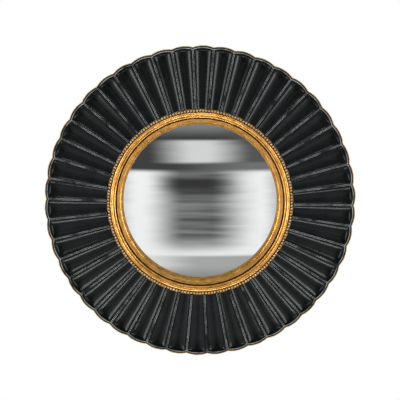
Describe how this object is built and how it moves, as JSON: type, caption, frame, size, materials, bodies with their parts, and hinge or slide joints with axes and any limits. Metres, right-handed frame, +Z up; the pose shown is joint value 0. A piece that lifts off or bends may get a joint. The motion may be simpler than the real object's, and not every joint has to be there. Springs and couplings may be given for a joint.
{
  "type": "convex wall mirror",
  "caption": "Round convex mirror in a black fluted frame with scalloped gilt edge, gilt pearl moulding and hollow sight ring, hung by a wire ring on the back.",
  "frame": {"origin": "on the mirror's axis, halfway between the wall and the top of the dome", "axes": "+Y into the wall, so that the mirror faces -Y; +Z up as hung; +X to the right for someone who looks into the mirror"},
  "size_m": [0.4996, 0.0375, 0.4998],
  "materials": {
    "black_lacquer": "black lacquer on cast resin, gilt paint on the front of the rim",
    "gilt": "gilt paint with a brown wash in the hollows",
    "mirror": "silvered domed glass",
    "foam": "grey foam",
    "hardboard": "smooth brown hardboard",
    "zinc_steel": "bright zinc plate"
  },
  "bodies": {
    "mirror": {"fluted_frame": "black_lacquer", "beaded_moulding": "gilt", "pearl_row": "gilt", "sight_ring": "gilt", "convex_mirror_glass": "mirror", "glass_cushions": "foam", "backing_board": "hardboard", "turn_button_screws": "zinc_steel", "hanger_strap": "zinc_steel", "hanger_screws": "zinc_steel"},
    "button_1": {"turn_button_1": "zinc_steel"},
    "button_2": {"turn_button_2": "zinc_steel"},
    "button_3": {"turn_button_3": "zinc_steel"},
    "button_4": {"turn_button_4": "zinc_steel"},
    "button_5": {"turn_button_5": "zinc_steel"},
    "button_6": {"turn_button_6": "zinc_steel"},
    "ring": {"hanger_ring": "zinc_steel"}
  },
  "joints": [
    {"name": "turn_button_1_turn", "type": "hinge", "parent": "mirror", "child": "button_1", "pos_m": [0.15, 0.01347, 0], "axis": [0, 1, 0], "range_deg": [-90, 90]},
    {"name": "turn_button_2_turn", "type": "hinge", "parent": "mirror", "child": "button_2", "pos_m": [0.075, 0.01347, 0.1299], "axis": [0, 1, 0], "range_deg": [-90, 90]},
    {"name": "turn_button_3_turn", "type": "hinge", "parent": "mirror", "child": "button_3", "pos_m": [-0.075, 0.01347, 0.1299], "axis": [0, 1, 0], "range_deg": [-90, 90]},
    {"name": "turn_button_4_turn", "type": "hinge", "parent": "mirror", "child": "button_4", "pos_m": [-0.15, 0.01347, 0], "axis": [0, 1, 0], "range_deg": [-90, 90]},
    {"name": "turn_button_5_turn", "type": "hinge", "parent": "mirror", "child": "button_5", "pos_m": [-0.075, 0.01347, -0.1299], "axis": [0, 1, 0], "range_deg": [-90, 90]},
    {"name": "turn_button_6_turn", "type": "hinge", "parent": "mirror", "child": "button_6", "pos_m": [0.075, 0.01347, -0.1299], "axis": [0, 1, 0], "range_deg": [-90, 90]},
    {"name": "hanger_ring_swing", "type": "hinge", "parent": "mirror", "child": "ring", "pos_m": [0, 0.01535, 0.188], "axis": [-1, 0, 0], "range_deg": [0, 177]}
  ]
}
